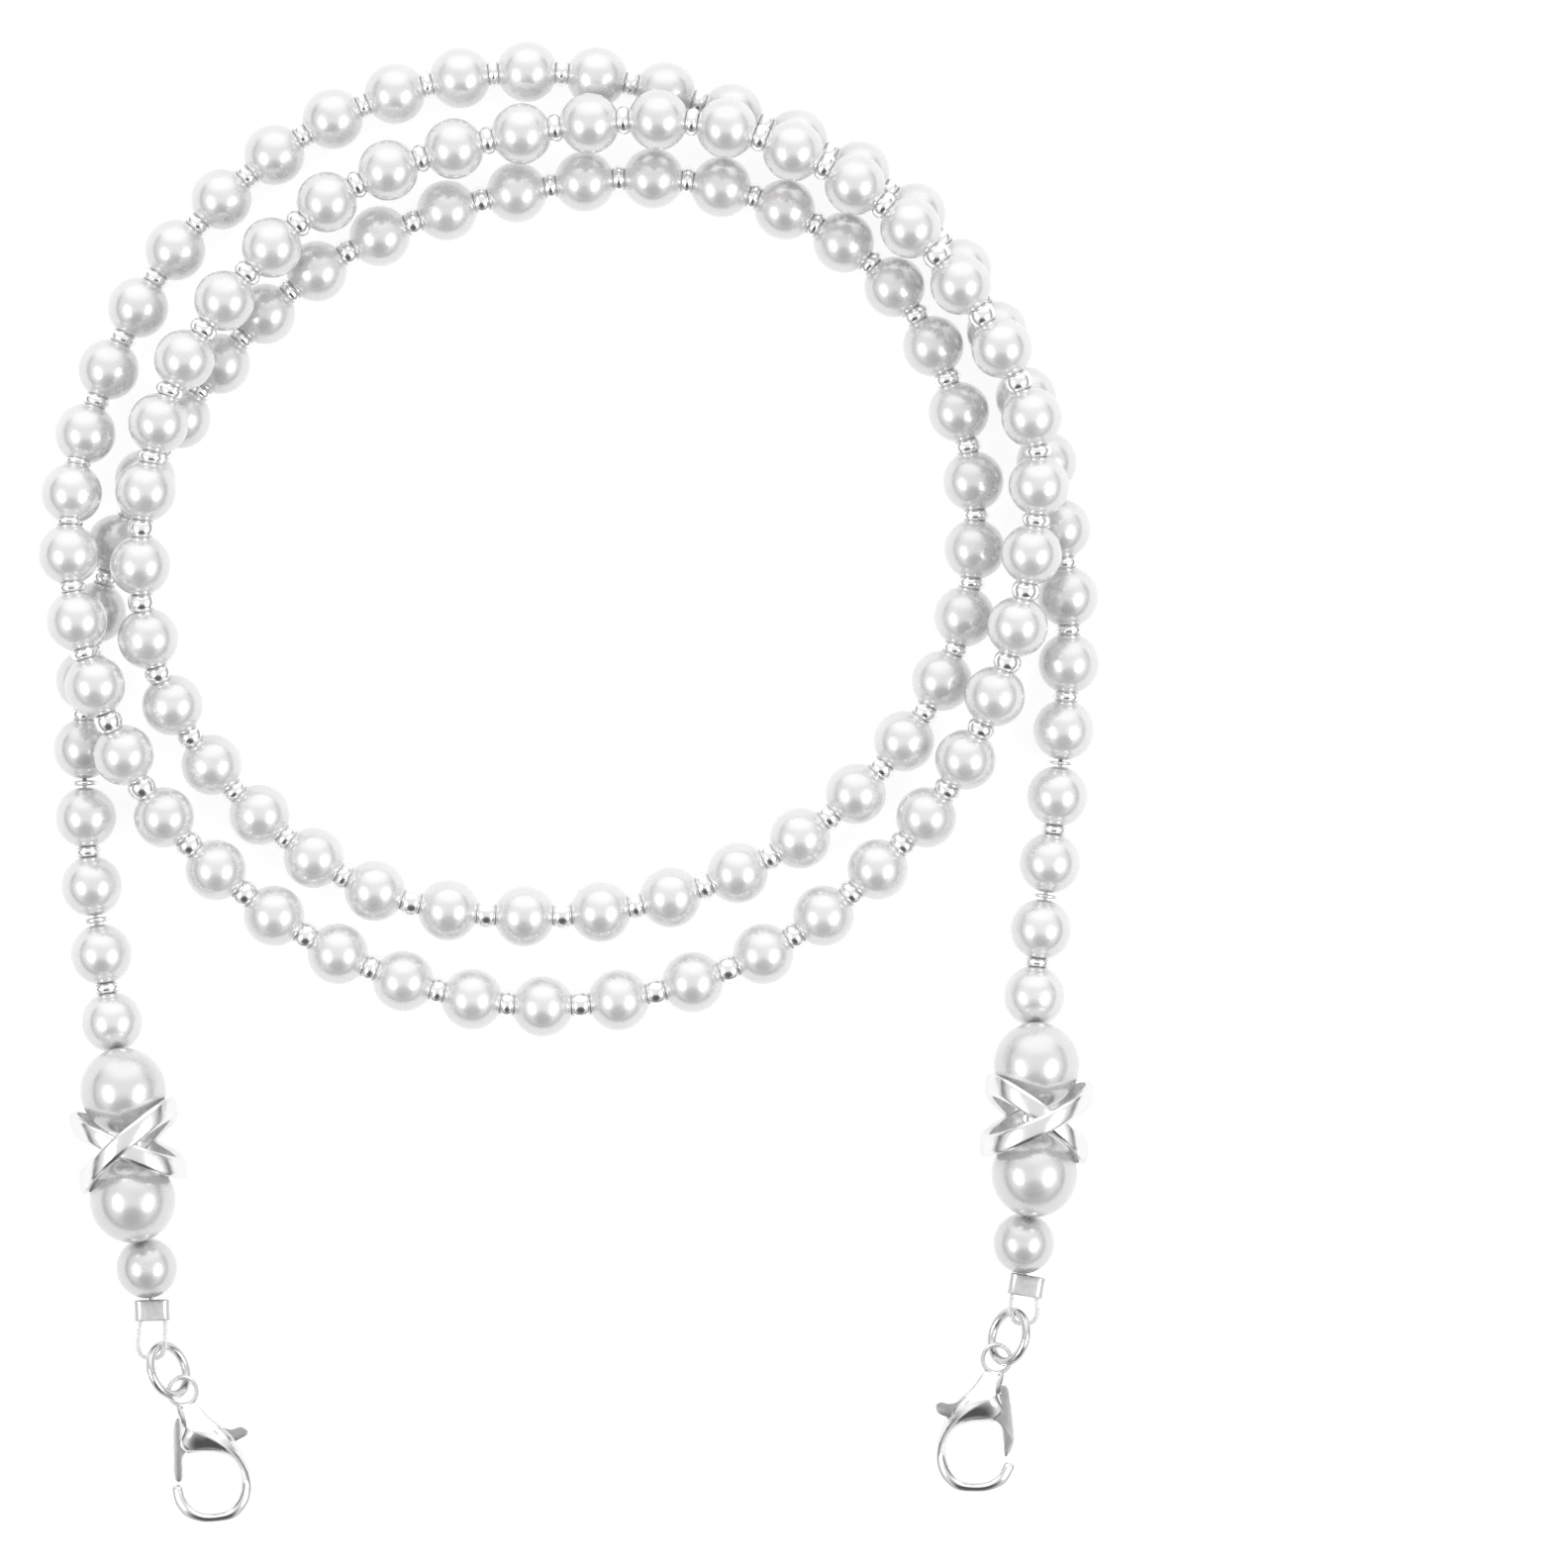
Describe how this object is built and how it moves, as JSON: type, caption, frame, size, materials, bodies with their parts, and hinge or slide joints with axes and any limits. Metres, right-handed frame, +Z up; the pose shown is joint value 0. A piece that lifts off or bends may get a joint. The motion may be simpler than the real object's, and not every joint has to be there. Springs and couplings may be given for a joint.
{
  "type": "eyeglasses chain strap",
  "caption": "Beaded eyeglasses strap coiled in loose loops, with a criss-cross ring between large beads, a jump ring and a lobster clasp at each end.",
  "frame": {"origin": "centre of the bounding box at the surface the strap lies on", "axes": "+Z up out of the surface; +Y from the clasps to the top of the loops; +X to the right seen from above with the clasps nearest"},
  "size_m": [0.1007, 0.141, 0.0117],
  "materials": {
    "pearl_beads": "pearlescent",
    "seed_beads": "bright silver plated",
    "fittings": "polished silver plated",
    "crimp": "satin",
    "thread": "clear nylon"
  },
  "bodies": {
    "strand": {"strand_section_01": "pearl_beads", "strand_section_02": "pearl_beads", "strand_section_03": "pearl_beads", "strand_section_04": "pearl_beads", "strand_section_05": "pearl_beads", "strand_section_06": "pearl_beads", "strand_section_07": "pearl_beads", "strand_section_08": "pearl_beads", "strand_section_09": "pearl_beads", "strand_section_10": "pearl_beads", "strand_section_11": "pearl_beads", "strand_section_12": "pearl_beads", "strand_section_13": "pearl_beads"},
    "left_upper_tail": {"left_pearl_1": "pearl_beads", "left_pearl_2": "pearl_beads", "left_seed_1": "seed_beads", "left_seed_2": "seed_beads", "left_upper_thread": "thread"},
    "left_lower_tail": {"left_pearl_3": "pearl_beads", "left_pearl_4": "pearl_beads", "left_seed_3": "seed_beads", "left_seed_4": "seed_beads", "left_lower_thread": "thread"},
    "left_cluster": {"left_large_pearl_upper": "pearl_beads", "left_large_pearl_lower": "pearl_beads", "left_inner_seed": "seed_beads", "left_cluster_thread": "thread"},
    "left_ring": {"left_cross_ring": "fittings"},
    "left_end": {"left_end_pearl": "pearl_beads", "left_crimp_tube": "crimp", "left_thread_loop": "thread"},
    "left_jump": {"left_jump_ring": "fittings"},
    "left_clasp": {"left_clasp_body": "fittings", "left_clasp_pin": "fittings", "left_clasp_spring": "fittings"},
    "left_lever": {"left_clasp_lever": "fittings"},
    "right_upper_tail": {"right_pearl_1": "pearl_beads", "right_pearl_2": "pearl_beads", "right_seed_1": "seed_beads", "right_seed_2": "seed_beads", "right_upper_thread": "thread"},
    "right_lower_tail": {"right_pearl_3": "pearl_beads", "right_pearl_4": "pearl_beads", "right_seed_3": "seed_beads", "right_seed_4": "seed_beads", "right_lower_thread": "thread"},
    "right_cluster": {"right_large_pearl_upper": "pearl_beads", "right_large_pearl_lower": "pearl_beads", "right_inner_seed": "seed_beads", "right_cluster_thread": "thread"},
    "right_ring": {"right_cross_ring": "fittings"},
    "right_end": {"right_end_pearl": "pearl_beads", "right_crimp_tube": "crimp", "right_thread_loop": "thread"},
    "right_jump": {"right_jump_ring": "fittings"},
    "right_clasp": {"right_clasp_body": "fittings", "right_clasp_pin": "fittings", "right_clasp_spring": "fittings"},
    "right_lever": {"right_clasp_lever": "fittings"}
  },
  "joints": [
    {"name": "left_tail_bend_upper", "type": "hinge", "parent": "strand", "child": "left_upper_tail", "pos_m": [-0.0463, -0.00006, 0.0029], "axis": [0, 0, 1], "range_deg": [-15, 15]},
    {"name": "left_tail_bend_lower", "type": "hinge", "parent": "left_upper_tail", "child": "left_lower_tail", "pos_m": [-0.0452, -0.01311, 0.0029], "axis": [0, 0, 1], "range_deg": [-10, 10]},
    {"name": "left_cluster_bend", "type": "hinge", "parent": "left_lower_tail", "child": "left_cluster", "pos_m": [-0.04323, -0.02552, 0.00389], "axis": [0, 0, 1], "range_deg": [-12, 12]},
    {"name": "left_cross_ring_spin", "type": "hinge", "parent": "left_cluster", "child": "left_ring", "pos_m": [-0.04209, -0.03453, 0.0053], "axis": [-0.1564, 0.9877, 0], "continuous": true},
    {"name": "left_end_bend", "type": "hinge", "parent": "left_cluster", "child": "left_end", "pos_m": [-0.04093, -0.04353, 0.00389], "axis": [0, 0, 1], "range_deg": [-12, 12]},
    {"name": "left_jump_ring_swing", "type": "hinge", "parent": "left_end", "child": "left_jump", "pos_m": [-0.03948, -0.05387, 0.00266], "axis": [0, 0, 1], "range_deg": [-12, 12]},
    {"name": "left_clasp_swing", "type": "hinge", "parent": "left_jump", "child": "left_clasp", "pos_m": [-0.03699, -0.05801, 0.0015], "axis": [0, 0, 1], "range_deg": [-20, 20]},
    {"name": "left_lever_open", "type": "hinge", "parent": "left_clasp", "child": "left_lever", "pos_m": [-0.03399, -0.06211, 0.0015], "axis": [0, 0, 1], "range_deg": [0, 25], "stiffness_Nm_per_rad": 0.004, "springref_deg": -17.19},
    {"name": "right_tail_bend_upper", "type": "hinge", "parent": "strand", "child": "right_upper_tail", "pos_m": [0.0466, 0.00184, 0.0029], "axis": [0, 0, 1], "range_deg": [-15, 15]},
    {"name": "right_tail_bend_lower", "type": "hinge", "parent": "right_upper_tail", "child": "right_lower_tail", "pos_m": [0.04517, -0.01083, 0.0029], "axis": [0, 0, 1], "range_deg": [-10, 10]},
    {"name": "right_cluster_bend", "type": "hinge", "parent": "right_lower_tail", "child": "right_cluster", "pos_m": [0.04419, -0.02304, 0.00389], "axis": [0, 0, 1], "range_deg": [-12, 12]},
    {"name": "right_cross_ring_spin", "type": "hinge", "parent": "right_cluster", "child": "right_ring", "pos_m": [0.04431, -0.03202, 0.0053], "axis": [0.0872, 0.9962, 0], "continuous": true},
    {"name": "right_end_bend", "type": "hinge", "parent": "right_cluster", "child": "right_end", "pos_m": [0.04352, -0.04114, 0.00389], "axis": [0, 0, 1], "range_deg": [-12, 12]},
    {"name": "right_jump_ring_swing", "type": "hinge", "parent": "right_end", "child": "right_jump", "pos_m": [0.04266, -0.05058, 0.00266], "axis": [0, 0, 1], "range_deg": [-12, 12]},
    {"name": "right_clasp_swing", "type": "hinge", "parent": "right_jump", "child": "right_clasp", "pos_m": [0.04053, -0.05492, 0.0015], "axis": [0, 0, 1], "range_deg": [-20, 20]},
    {"name": "right_lever_open", "type": "hinge", "parent": "right_clasp", "child": "right_lever", "pos_m": [0.0379, -0.05926, 0.0015], "axis": [0, 0, 1], "range_deg": [-25, 0], "stiffness_Nm_per_rad": 0.004, "springref_deg": 17.19}
  ]
}
